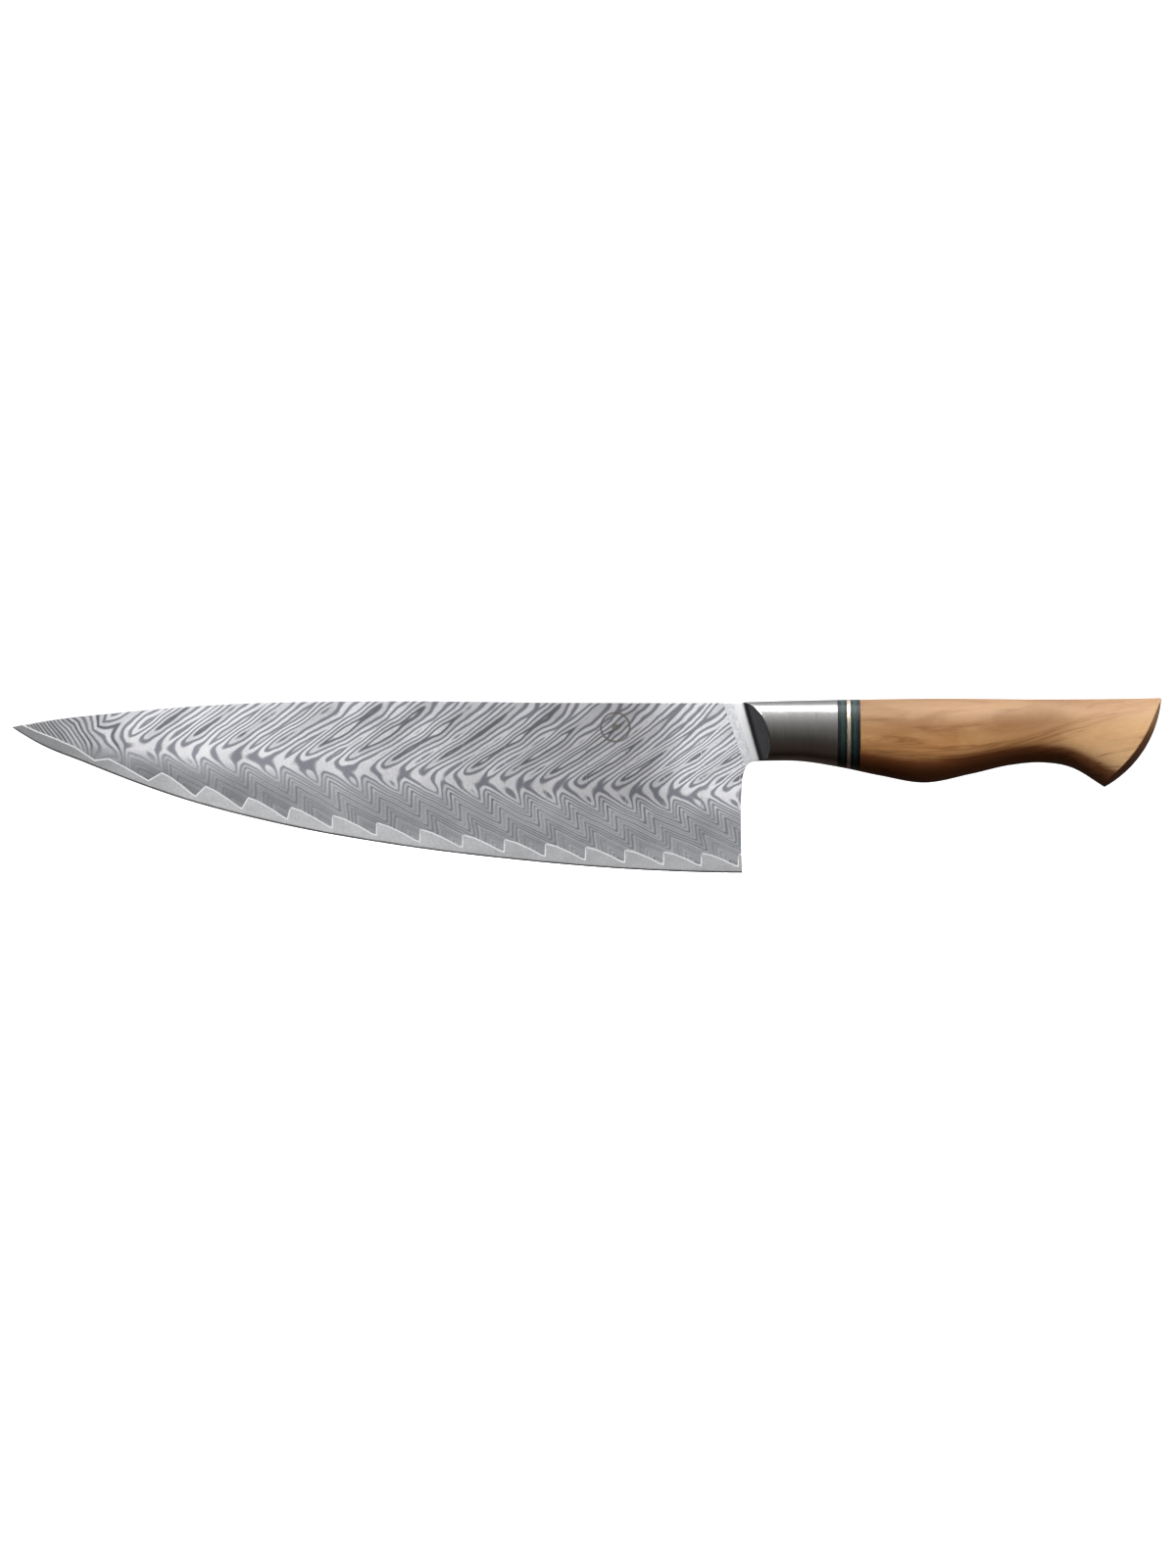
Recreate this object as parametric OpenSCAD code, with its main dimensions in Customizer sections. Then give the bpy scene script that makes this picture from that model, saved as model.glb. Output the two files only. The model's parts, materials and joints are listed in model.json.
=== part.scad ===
// Chef's knife: clad three-layer blade, welded bolster, spacer stack and hidden-tang handle.
// X runs from the tip (-X) to the butt (+X), Y across the thickness, Z from the edge up to the
// spine. The origin is under the middle of the overall length, level with the heel of the edge.
// A station s is a distance from the tip along X. A station g is a distance behind the heel.

/* [Blade] */
// Length of the blade from the tip to the heel
blade_l = 203.4; // [195:0.2:212]
// Height of the spine above the heel of the edge
heel_h = 47.6; // [45:0.2:50]
// Thickness of the spine at the bolster
spine_t = 2.3; // [2:0.1:2.8]
// Thickness that the flat faces taper to at the tip
tip_t = 1.0; // [0.9:0.05:1.2]
// Thickness just above the sharpened edge
edge_t = 0.5; // [0.45:0.01:0.55]
// Height of the sharpened edge
sharp_h = 0.45; // [0.35:0.05:0.6]

/* [Cladding] */
// Thickness of the hard core at the heel
core_t = 0.48; // [0.42:0.01:0.48]
// Number of full teeth in the cladding's lower border
tooth_count = 15; // [12:1:15]
// Length of the tooth nearest to the heel
tooth_l = 10.3; // [9.6:0.1:10.4]
// Height above the edge of the valleys between teeth
valley_h = 1.6; // [1.3:0.1:2]
// Height above the edge of the tops of the teeth
tooth_h = 5.1; // [4:0.1:5.6]

/* [Bolster] */
// Lean of the weld and of the bolster's front, from vertical
lean = 19.2; // [16:0.2:22]
// Width of the weld seam along X
weld_w = 2.7; // [2:0.1:3.5]
// Width at the spine of the thin foot between the weld and the scooped front
foot_w = 3.2; // [2.8:0.1:4]
// Lean of the scooped front, from vertical
scoop_lean = 15.4; // [13:0.2:18]
// Angle of the scooped front from square
scoop_angle = 34; // [28:1:38]
// Radius between the foot and the scooped front
scoop_r = 2.4; // [1.5:0.1:3]
// Length of the bolster behind the heel
bolster_l = 26.3; // [24:0.1:28]

/* [Spacers] */
// Thickness of each black spacer
black_t = 0.96; // [0.7:0.01:1.2]
// Thickness of the two thin black spacers beside the brass
thin_black_t = 0.72; // [0.5:0.01:1]
// Thickness of each green spacer
green_t = 0.96; // [0.7:0.01:1.2]
// Thickness of the brass spacer
brass_t = 0.96; // [0.7:0.01:1.2]

/* [Handle] */
// Length of bolster, spacers and handle together, behind the heel
grip_l = 116.6; // [110:0.2:122]
// Radius of the butt's curve in side view
butt_r = 31; // [28:1:38]
// Radius of the butt's dome across the handle
dome_r = 25; // [22:1:32]

/* [Tang] */
// Thickness of the tang
tang_t = 2.4; // [2:0.1:2.8]
// Height of the tang where it leaves the bolster
tang_h = 10; // [9:0.5:11]
// Height of the tang near its end
tang_end_h = 6; // [5:0.5:8]
// Length of the tang inside the handle's bore
tang_in_handle = 58; // [50:1:64]
// Length of the tang seated in the bolster
tang_seat = 7; // [5:0.5:9]
// Width of the bore
bore_w = 4.4; // [4:0.1:5]
// Height of the bore
bore_h = 12.4; // [12:0.2:13]

/* [Hidden] */

STEEL = [0.72, 0.73, 0.75];
DAMASK = [0.58, 0.59, 0.62];
BOLSTER_STEEL = [0.55, 0.54, 0.55];
WELD = [0.68, 0.68, 0.7];
BLACK = [0.06, 0.06, 0.07];
GREEN = [0.14, 0.26, 0.24];
BRASS = [0.78, 0.7, 0.52];
RESIN = [0.75, 0.68, 0.45];
OLIVE = [0.76, 0.55, 0.34];

overall_l = blade_l + grip_l;
far = 60;

// Outline knots. The first number is a fraction of the blade's or the grip's length.
// The edge and spine give a fraction of heel_h, the grip gives millimetres from the spine's level.
EDGE = [[0, 0.853], [0.037, 0.757], [0.098, 0.649], [0.22, 0.453], [0.37, 0.284], [0.52, 0.168],
    [0.69, 0.077], [0.86, 0.018], [1, 0]];
SPINE = [[0, 0.853], [0.04, 0.888], [0.15, 0.944], [0.3, 0.993], [0.5, 1.01], [0.75, 1.002], [1, 1]];
GRIP_RISE = [[0, 0], [0.21, 0.6], [0.5, 1], [0.7, 0.8], [0.87, 0.9], [1, 1.2], [1.04, 1.3]];
GRIP_DEPTH = [[0, 16.6], [0.06, 16.42], [0.134, 16.5], [0.228, 18.1], [0.331, 20.6], [0.434, 22.5],
    [0.545, 20.1], [0.64, 17.6], [0.717, 16.9], [0.786, 18.3], [0.864, 23.7], [0.93, 28.4],
    [1.04, 31]];
GRIP_HALF_W = [[0, 6.2], [0.1, 6.9], [0.228, 8.1], [0.33, 9.4], [0.434, 10.4], [0.545, 10],
    [0.66, 9.1], [0.76, 9.2], [0.88, 10.2], [1.04, 10.9]];
// Squareness of the grip's section: 2 is an ellipse
GRIP_POWER = [[0, 2.15], [0.2, 2.25], [0.4, 2.4], [0.8, 2.5], [1.04, 2.5]];

// Smooth curve through knots: cubic Hermite pieces with three-point slopes
function chord(k, i) = (k[i + 1][1] - k[i][1]) / (k[i + 1][0] - k[i][0]);
function gap(k, i) = k[i + 1][0] - k[i][0];
function mid_slope(k, i) =
    (chord(k, i - 1) * gap(k, i) + chord(k, i) * gap(k, i - 1)) / (gap(k, i - 1) + gap(k, i));
function slope(k, i) =
    i == 0 ? 2 * chord(k, 0) - mid_slope(k, 1) :
    i == len(k) - 1 ? 2 * chord(k, i - 1) - mid_slope(k, i - 1) :
    mid_slope(k, i);
function piece(k, x, i = 0) = i >= len(k) - 2 || x < k[i + 1][0] ? i : piece(k, x, i + 1);
function hermite(a, b, ma, mb, h, t) =
    (2 * t ^ 3 - 3 * t ^ 2 + 1) * a + (t ^ 3 - 2 * t ^ 2 + t) * h * ma
    + (3 * t ^ 2 - 2 * t ^ 3) * b + (t ^ 3 - t ^ 2) * h * mb;
function on_piece(k, x, i) =
    hermite(k[i][1], k[i + 1][1], slope(k, i), slope(k, i + 1), gap(k, i), (x - k[i][0]) / gap(k, i));
function curve(k, x) = on_piece(k, x, piece(k, x));
function bezier(p, t) =
    (1 - t) ^ 3 * p[0] + 3 * (1 - t) ^ 2 * t * p[1] + 3 * (1 - t) * t ^ 2 * p[2] + t ^ 3 * p[3];

// Blade outline and section at station s
function blade_f(s) = min(s / blade_l, 1);
function edge_z(s) = heel_h * curve(EDGE, blade_f(s));
function spine_z(s) = heel_h * curve(SPINE, blade_f(s));
TAPER_END = blade_l - 5.5;
TIP_FADE = 30;
function tip_fade(s) = s >= TIP_FADE ? 1 : 1 - (1 - s / TIP_FADE) ^ 3;
function flat_half(s) = (tip_t + (spine_t - tip_t) * min(s / TAPER_END, 1)) / 2;
function upper_half(s) = flat_half(s) * tip_fade(s);
function sharp_half(s) = min(edge_t / 2, 0.6 * upper_half(s));
function height(s) = spine_z(s) - edge_z(s);
function sharp_z(s) = edge_z(s) + min(sharp_h, 0.2 * height(s));
// The flat upper zone ends about halfway down the blade, a little higher towards the tip
RIDGE_AT_HEEL = 0.485;
RIDGE_RISE = 0.12;
function ridge_z(s) = edge_z(s) + (RIDGE_AT_HEEL + RIDGE_RISE * (1 - blade_f(s)) ^ 2) * height(s);
// Width of the eased corners along the spine
SPINE_EASE = 0.25;
function crown(s) = min(SPINE_EASE, 0.3 * upper_half(s));
// Half the blade's thickness at height z
function half_at(s, z) =
    z < ridge_z(s)
    ? sharp_half(s) + (upper_half(s) - sharp_half(s)) * (z - sharp_z(s)) / (ridge_z(s) - sharp_z(s))
    : upper_half(s);

// Saw-toothed border between cladding and bare core, as [s, z] points from the tip to the heel
VALLEY_TO_TOP = 0.16;
function tooth_s(i) = blade_l - 1 - (tooth_l - 0.1) * i - 0.11 * i ^ 2;
function tooth_run(i) = max(VALLEY_TO_TOP, 0.075 * (88 - tooth_s(i)));
function above_edge(s, h) = [s, edge_z(s) + h];
function tooth_valley(i) = above_edge(tooth_s(i), valley_h);
function tooth_top(i) = above_edge(tooth_s(i) + tooth_run(i), tooth_h);
function along(a, b, t, rise) = a + (b - a) * t + [0, rise];
// The gentle flank bulges below the top and flattens out at the valley
function tooth_flank(i) =
    let (a = tooth_top(i), b = tooth_valley(i - 1))
    [along(a, b, 0.25, 0.4), along(a, b, 0.6, 0.25), along(a, b, 0.88, -0.15)];
function tooth(i) = concat([tooth_valley(i), tooth_top(i)], i == 0 ? [] : tooth_flank(i));
BUMP = tooth_s(tooth_count - 1) - 13.5;
NOSE = [[2.9, spine_z(2.9)], [3, spine_z(3) - 0.2], above_edge(4.6, 2.6), above_edge(6.5, 2.8),
    above_edge(9, 3.1), above_edge(11.5, 3.3), above_edge((BUMP + 10.5) / 2, 3),
    above_edge(BUMP - 1.5, 1.5), above_edge(BUMP + 2.4, 3.5),
    above_edge(BUMP + 7, 2.9)];
BORDER = concat(NOSE, [for (i = [tooth_count - 1 : -1 : 0]) each tooth(i)],
    [above_edge(blade_l, 4.9), above_edge(blade_l + 5, 4)]);
BARE_TIP = [0.7, 1.4, 2.2];

// Section of the core at a border point: full width below the border, a thin slab above it
CORE_TIP_HALF = 0.1;
function core_half(s) = CORE_TIP_HALF + (core_t / 2 - CORE_TIP_HALF) * blade_f(s);
function border_z(p) = min(p[1], spine_z(p[0]) - 0.03);
function core_side(s, z) =
    let (m = min(ridge_z(s), (z + sharp_z(s)) / 2))
    [[sharp_half(s), sharp_z(s)], [half_at(s, m), m], [half_at(s, z), z], [min(core_half(s),
        half_at(s, z) * 0.98), z], [min(core_half(s), half_at(s, z) * 0.98), spine_z(s)]];
function core_ring(p) =
    let (s = p[0], side = core_side(s, border_z(p)))
    concat([[s, 0, edge_z(s)]], [for (q = side) [s, q[0], q[1]]],
        [for (q = reverse(side)) [s, -q[0], q[1]]]);

// Section of one cladding layer at a border point
function clad_ring(p) =
    let (
        s = p[0],
        z = border_z(p),
        shoulder = spine_z(s) - crown(s),
        m = max(ridge_z(s), z + 0.3 * (shoulder - z))
    )
    [[s, core_half(s), z], [s, half_at(s, z), z], [s, upper_half(s), m],
        [s, upper_half(s), shoulder], [s, upper_half(s) - crown(s), spine_z(s)],
        [s, core_half(s), spine_z(s)]];
function reverse(v) = [for (i = [len(v) - 1 : -1 : 0]) v[i]];

// Grip outline and section at station g
function grip_f(g) = max(g / grip_l, 0);
function grip_top(g) = heel_h + curve(GRIP_RISE, grip_f(g));
function grip_bottom(g) = heel_h - curve(GRIP_DEPTH, grip_f(g));
function power(v, e) = sign(v) * pow(abs(v), e);
SECTION_POINTS = 48;
function grip_point(g, a) =
    let (
        e = 2 / curve(GRIP_POWER, grip_f(g)),
        mid = (grip_top(g) + grip_bottom(g)) / 2,
        half_h = (grip_top(g) - grip_bottom(g)) / 2
    )
    [blade_l + g, curve(GRIP_HALF_W, grip_f(g)) * power(cos(a), e), mid + half_h * power(sin(a), e)];
// The points straddle the widest line, so each side has a narrow flat that the knife can lie on
function grip_ring(g) =
    [for (i = [0 : SECTION_POINTS - 1]) grip_point(g, (i + 0.5) * 360 / SECTION_POINTS)];

// The lean of the weld and the bolster's front, as stations at height z
function lean_s(top_s, z) = top_s + (heel_h - z) * tan(lean);
WELD_TOP = blade_l - 5.5;
FOOT_TOP = WELD_TOP + weld_w;
SCOOP_TOP = FOOT_TOP + foot_w;

// Stations g of the spacers' faces
SPACERS = [black_t, green_t, thin_black_t, brass_t, thin_black_t, green_t, black_t];
function spacer_start(i) = i == 0 ? bolster_l : spacer_start(i - 1) + SPACERS[i - 1];
HANDLE_START = spacer_start(len(SPACERS));

// Tang line and bore
TANG_Z = heel_h - 8.3;
TANG_END = HANDLE_START + tang_in_handle;
BORE_END = TANG_END + 2;
NOTCH_R = 1.1;
NOTCH_PITCH = 11;
NOTCHES = 4;

// Two triangles between each pair of neighbours on each pair of rings
function bands(n, last) = [for (r = [0 : last - 1]) for (i = [0 : n - 1]) for (half = [0, 1])
    let (a = r * n + i, b = r * n + (i + 1) % n)
    half == 0 ? [a, a + n, b] : [b, a + n, b + n]];

module loft(rings) {
    n = len(rings[0]);
    last = len(rings) - 1;
    front = [for (i = [0 : n - 1]) i];
    back = [for (i = [0 : n - 1]) last * n + n - 1 - i];
    polyhedron([for (r = rings) each r], concat(bands(n, last), [front, back]), convexity = 6);
}

// Loft from a single point at the tip through all rings
module pointed_loft(tip, rings) {
    n = len(rings[0]);
    last = len(rings) - 1;
    apex = len(rings) * n;
    nose = [for (i = [0 : n - 1]) [apex, i, (i + 1) % n]];
    back = [for (i = [0 : n - 1]) last * n + n - 1 - i];
    polyhedron(concat([for (r = rings) each r], [tip]), concat(bands(n, last), nose, [back]),
        convexity = 6);
}

// Side-view shape, drawn as [s, z], made a slab across the knife's whole thickness
module side_slab(points) {
    rotate([90, 0, 0]) linear_extrude(height = far, center = true) polygon(points);
}

module centred() {
    translate([-overall_l / 2, 0, 0]) children();
}

// Empty space behind the heel and under the bolster's foot
CHOIL_START = [blade_l - 0.5, 0.37 * heel_h];
CHOIL_END = [blade_l + 3.4, heel_h - 16.62];
CHOIL = [CHOIL_START, CHOIL_START + [0, 8.6], CHOIL_END + [-3.2, 0], CHOIL_END];
HEEL_BOW = 0.3;
function heel_back() = [for (t = [0 : 0.2 : 0.8])
    [blade_l, 0] + (CHOIL_START - [blade_l, 0]) * t - [HEEL_BOW * t * (1 - t), 0]];
function choil(steps) = [for (i = [0 : steps]) bezier(CHOIL, i / steps)];
module heel_relief() {
    behind = CHOIL_END + [6, 0];
    side_slab(concat(heel_back(), choil(16), [behind, [behind[0], -far], [blade_l + 0.1, -far]]));
}

// The same empty space and everything behind the weld's front line, as one cut
module blade_end() {
    front = [for (p = choil(16)) if (p[0] < lean_s(WELD_TOP, p[1])) p];
    top = heel_h + 5;
    low = front[len(front) - 1][1] + 0.2;
    side_slab(concat(heel_back(), front, [[lean_s(WELD_TOP, low), low],
        [lean_s(WELD_TOP, top), top], [blade_l + far, top], [blade_l + far, -far],
        [blade_l + 0.1, -far]]));
}

// Everything between two leaning lines that meet the spine at stations a and b
module lean_band(a, b) {
    low = -5;
    high = heel_h + 5;
    side_slab([[lean_s(a, low), low], [lean_s(b, low), low], [lean_s(b, high), high],
        [lean_s(a, high), high]]);
}

module blade_core() {
    bare = [for (s = BARE_TIP) core_ring([s, spine_z(s)])];
    color(STEEL) centred() difference() {
        pointed_loft([0, 0, edge_z(0)], concat(bare, [for (p = BORDER) core_ring(p)]));
        blade_end();
    }
}

module cladding() {
    color(DAMASK) centred() difference() {
        loft([for (i = [1 : len(BORDER) - 1]) clad_ring(BORDER[i])]);
        blade_end();
    }
}

module cladding_left() {
    mirror([0, 1, 0]) cladding();
}

module cladding_right() {
    cladding();
}

module weld_seam() {
    half = spine_t / 2;
    ease = crown(blade_l);
    low = heel_h - 19;
    color(WELD) centred() difference() {
        intersection() {
            translate([WELD_TOP - 5, 0, 0]) rotate([90, 0, 90]) linear_extrude(height = 20)
                polygon([[-half, low], [half, low], [half, heel_h - ease], [half - ease, heel_h],
                    [ease - half, heel_h], [-half, heel_h - ease]]);
            lean_band(WELD_TOP, FOOT_TOP);
        }
        heel_relief();
    }
}

// Cutter for one side of the bolster's front, drawn in plan and run along the lean
module scoop(side) {
    foot_half = spine_t / 2;
    reach = 12;
    corner = 0.5;
    t = scoop_r * tan((90 - scoop_angle) / 2);
    mirror([0, side > 0 ? 0 : 1, 0])
        translate([SCOOP_TOP, 0, heel_h]) rotate([0, -scoop_lean, 0])
        translate([corner, foot_half, -far / 2]) linear_extrude(height = far) {
            polygon([[-far / 2, 0], [-t, 0], [t * sin(scoop_angle), t * cos(scoop_angle)],
                [reach * tan(scoop_angle), reach], [-far / 2, reach]]);
            translate([-t, scoop_r]) circle(r = scoop_r, $fn = 64);
        }
}

module bolster() {
    color(BOLSTER_STEEL) centred() difference() {
        loft([for (i = [-3 : 10]) grip_ring(i * bolster_l / 10)]);
        lean_band(FOOT_TOP - far, FOOT_TOP);
        heel_relief();
        scoop(-1);
        scoop(1);
        tang_form();
    }
}

// Side view of the tang: tapered bar with a round end and glue notches along its underside
module tang_outline() {
    start = blade_l + bolster_l - tang_seat;
    end = blade_l + TANG_END - tang_end_h / 2;
    difference() {
        union() {
            polygon([[start, -tang_h / 2], [end, -tang_end_h / 2], [end, tang_end_h / 2],
                [start, tang_h / 2]]);
            translate([end, 0]) circle(d = tang_end_h, $fn = 48);
        }
        for (i = [0 : NOTCHES - 1])
            translate([end - 6 - i * NOTCH_PITCH, -tang_end_h / 2 - 0.2 - i * 0.35])
                circle(r = NOTCH_R, $fn = 32);
    }
}

module tang_form() {
    translate([0, 0, TANG_Z]) rotate([90, 0, 0])
        linear_extrude(height = tang_t, center = true) tang_outline();
}

module tang() {
    color(STEEL) centred() tang_form();
}

// Round-ended slot through the spacers and into the handle
module bore(from, to) {
    straight = bore_h - bore_w;
    translate([blade_l + from, 0, TANG_Z]) rotate([90, 0, 90]) linear_extrude(height = to - from) {
        square([bore_w, straight], center = true);
        for (end = [-1, 1])
            translate([0, end * straight / 2]) circle(d = bore_w, $fn = 48);
    }
}

module spacer(i, colour) {
    from = spacer_start(i);
    to = from + SPACERS[i];
    color(colour) centred() difference() {
        intersection() {
            loft([for (g = [from - 1, from, to, to + 1]) grip_ring(g)]);
            translate([blade_l + from, -far / 2, 0]) cube([to - from, far, far]);
        }
        bore(from - 1, to + 1);
    }
}

module spacer_black_front() {
    spacer(0, BLACK);
}

module spacer_green_front() {
    spacer(1, GREEN);
}

module spacer_black_mid_front() {
    spacer(2, BLACK);
}

module spacer_brass() {
    spacer(3, BRASS);
}

module spacer_black_mid_rear() {
    spacer(4, BLACK);
}

module spacer_green_rear() {
    spacer(5, GREEN);
}

module spacer_black_rear() {
    spacer(6, BLACK);
}

module epoxy_bed() {
    color(RESIN) centred() difference() {
        bore(bolster_l, BORE_END);
        tang_form();
    }
}

// The butt's chord in side view, from its top corner to the beak
BUTT_TOP = [overall_l, heel_h + 1.2];
BUTT_BEAK = [blade_l + 0.864 * grip_l, heel_h - 23.7];
BUTT_CHORD = BUTT_TOP - BUTT_BEAK;
module at_butt() {
    mid = (BUTT_TOP + BUTT_BEAK) / 2;
    translate([mid[0], 0, mid[1]]) rotate([0, atan2(BUTT_CHORD[0], BUTT_CHORD[1]), 0]) children();
}

// Barrel whose surface is the butt: butt_r in side view and dome_r across
module butt_barrel() {
    half = norm(BUTT_CHORD) / 2;
    rise = butt_r - sqrt(butt_r ^ 2 - half ^ 2);
    at_butt() translate([rise - dome_r, 0, 0]) rotate_extrude($fn = 128) intersection() {
        translate([dome_r - butt_r, 0]) circle(r = butt_r, $fn = 256);
        translate([0, -half - 8]) square([dome_r + 5, 2 * half + 16]);
    }
}

// Everything in front of the butt, where the handle is left whole
module ahead_of_butt() {
    at_butt() translate([-far - 8, -far / 2, -far / 2]) cube(far);
}

module handle() {
    rings = 34;
    step = (grip_l + 3 - HANDLE_START) / rings;
    color(OLIVE) centred() difference() {
        loft([for (i = [0 : rings]) grip_ring(HANDLE_START + i * step)]);
        difference() {
            translate([BUTT_BEAK[0] - 6, -far / 2, -5]) cube([far, far, far * 2]);
            butt_barrel();
            ahead_of_butt();
        }
        bore(HANDLE_START - 1, BORE_END);
    }
}

blade_core();
cladding_left();
cladding_right();
weld_seam();
bolster();
tang();
spacer_black_front();
spacer_green_front();
spacer_black_mid_front();
spacer_brass();
spacer_black_mid_rear();
spacer_green_rear();
spacer_black_rear();
epoxy_bed();
handle();
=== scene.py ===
"""Chef's knife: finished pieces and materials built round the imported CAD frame.

Geometry is worked out in millimetres. A station s runs from the tip along X, g from the heel, and z
up from the level of the edge. Every piece is a closed mesh that stands for one CAD node.
"""
import json
import math

import bpy
import numpy as np
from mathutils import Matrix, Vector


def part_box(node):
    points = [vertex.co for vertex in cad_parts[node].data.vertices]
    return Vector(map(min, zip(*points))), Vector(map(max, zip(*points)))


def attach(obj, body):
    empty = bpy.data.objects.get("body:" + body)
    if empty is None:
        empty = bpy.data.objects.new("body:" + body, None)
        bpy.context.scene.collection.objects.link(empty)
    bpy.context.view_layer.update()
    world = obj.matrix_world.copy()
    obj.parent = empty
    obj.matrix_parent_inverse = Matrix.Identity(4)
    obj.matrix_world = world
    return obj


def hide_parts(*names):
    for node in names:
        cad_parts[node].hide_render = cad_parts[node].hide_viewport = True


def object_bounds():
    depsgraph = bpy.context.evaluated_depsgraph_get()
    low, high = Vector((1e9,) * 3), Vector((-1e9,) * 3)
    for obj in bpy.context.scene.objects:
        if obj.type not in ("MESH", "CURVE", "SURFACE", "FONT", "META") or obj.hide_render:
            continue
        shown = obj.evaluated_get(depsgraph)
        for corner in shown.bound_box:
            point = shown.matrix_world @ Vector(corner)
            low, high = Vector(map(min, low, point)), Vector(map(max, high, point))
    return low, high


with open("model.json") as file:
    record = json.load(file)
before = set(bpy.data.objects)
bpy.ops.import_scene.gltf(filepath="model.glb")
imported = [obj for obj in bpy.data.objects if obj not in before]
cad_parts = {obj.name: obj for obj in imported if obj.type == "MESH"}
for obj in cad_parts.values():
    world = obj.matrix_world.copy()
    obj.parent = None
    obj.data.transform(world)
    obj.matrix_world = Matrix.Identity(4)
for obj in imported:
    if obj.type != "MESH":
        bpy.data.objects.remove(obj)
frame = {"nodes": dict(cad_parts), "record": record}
cad_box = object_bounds()

MM = 0.001


def node_box(name):
    """Lowest and highest corner of a CAD node, in millimetres."""
    low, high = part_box(name)
    return np.array(low) / MM, np.array(high) / MM


# ---------------------------------------------------------------- sizes, from the frame
TIP_X = cad_box[0].x / MM
OVERALL_L = (cad_box[1].x - cad_box[0].x) / MM
# The weld meets the spine this far ahead of the heel
WELD_BACK = 5.5
WELD_LOW, WELD_HIGH = node_box("weld_seam")
BLADE_L = WELD_LOW[0] - TIP_X + WELD_BACK
HEEL_H = WELD_HIGH[2]
SPINE_T = WELD_HIGH[1] - WELD_LOW[1]
GRIP_L = OVERALL_L - BLADE_L
BOLSTER_END = node_box("bolster")[1][0] - TIP_X - BLADE_L
HANDLE_START = node_box("handle")[0][0] - TIP_X - BLADE_L
BORE_LOW, BORE_HIGH = node_box("epoxy_bed")
TANG_Z = (BORE_LOW[2] + BORE_HIGH[2]) / 2
BORE_W = BORE_HIGH[1] - BORE_LOW[1]
BORE_H = BORE_HIGH[2] - BORE_LOW[2]
BORE_END = BORE_HIGH[0] - TIP_X - BLADE_L

# ---------------------------------------------------------------- sizes repeated from the design
# Thicknesses of the blade: at the tip, above the sharpened edge, and of the core
TIP_T = 1.0
EDGE_T = 0.5
SHARP_H = 0.45
CORE_T = 0.48
CORE_TIP_HALF = 0.1
# The tip thins out to nothing over this length
TIP_FADE = 30
WELD_TOP = BLADE_L - WELD_BACK
# The ridge between bevel and flat zone: height at the heel, rise towards the tip, rounding
RIDGE_AT_HEEL = 0.485
RIDGE_RISE = 0.12
RIDGE_SOFT = 0.03
SPINE_EASE = 0.25
# The claddings begin this far behind the tip
CLAD_START = 3.0

# Saw-toothed border of the cladding: heights are above the edge
TOOTH_COUNT = 15
TOOTH_L = 10.3
TOOTH_GROWTH = 0.11
VALLEY_H = 1.6
TOOTH_H = 5.1
# Run of a tooth's steep face; it leans more and more where the station is below the second value
TOOTH_FACE = 0.16
FACE_LEANS_BELOW = 88
FACE_LEAN = 0.075
# Shape of a tooth's long flank: share of its length, rise above a straight line
TOOTH_BULGE = [(0.25, 0.4), (0.6, 0.25), (0.88, -0.15)]

# Leans and stations at the spine of the weld, the foot and the scooped front
LEAN = math.tan(math.radians(19.2))
FOOT_TOP = WELD_TOP + 2.7
SCOOP_TOP = FOOT_TOP + 3.2
SCOOP_LEAN = math.radians(15.4)
SCOOP_CORNER = 0.5
SCOOP_ANGLE = math.radians(34)
SCOOP_R = 2.4

# Heel's back and the curve from there up to the bolster
HEEL_BOW = 0.3
CHOIL_START = (BLADE_L - 0.5, 0.37 * HEEL_H)
CHOIL_END = (BLADE_L + 3.4, HEEL_H - 16.62)
CHOIL_UP = 8.6
CHOIL_FORWARD = 3.2
# The stations follow the heel's back over this last stretch of the blade
HEEL_BLEND = 26

BUTT_TOP = (OVERALL_L, HEEL_H + 1.2)
BUTT_BEAK = (BLADE_L + 0.864 * GRIP_L, HEEL_H - 23.7)
BUTT_R = 31
DOME_R = 25

# Outline knots: a fraction of the length, then a fraction of the heel's height or millimetres
EDGE = [(0, 0.853), (0.037, 0.757), (0.098, 0.649), (0.22, 0.453), (0.37, 0.284), (0.52, 0.168),
        (0.69, 0.077), (0.86, 0.018), (1, 0)]
SPINE = [(0, 0.853), (0.04, 0.888), (0.15, 0.944), (0.3, 0.993), (0.5, 1.01), (0.75, 1.002), (1, 1)]
GRIP_RISE = [(0, 0), (0.21, 0.6), (0.5, 1), (0.7, 0.8), (0.87, 0.9), (1, 1.2), (1.04, 1.3)]
GRIP_DEPTH = [(0, 16.6), (0.06, 16.42), (0.134, 16.5), (0.228, 18.1), (0.331, 20.6), (0.434, 22.5),
              (0.545, 20.1), (0.64, 17.6), (0.717, 16.9), (0.786, 18.3), (0.864, 23.7), (0.93, 28.4),
              (1.04, 31)]
GRIP_HALF_W = [(0, 6.2), (0.1, 6.9), (0.228, 8.1), (0.33, 9.4), (0.434, 10.4), (0.545, 10),
               (0.66, 9.1), (0.76, 9.2), (0.88, 10.2), (1.04, 10.9)]
GRIP_POWER = [(0, 2.15), (0.2, 2.25), (0.4, 2.4), (0.8, 2.5), (1.04, 2.5)]
# The CAD section is a polygon just inside the true curve, and the pieces stay inside it
INSIDE_CAD = 0.997
# The hidden faces reach at most this share of the blade's thickness
UNDER_SKIN = 0.98


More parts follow.
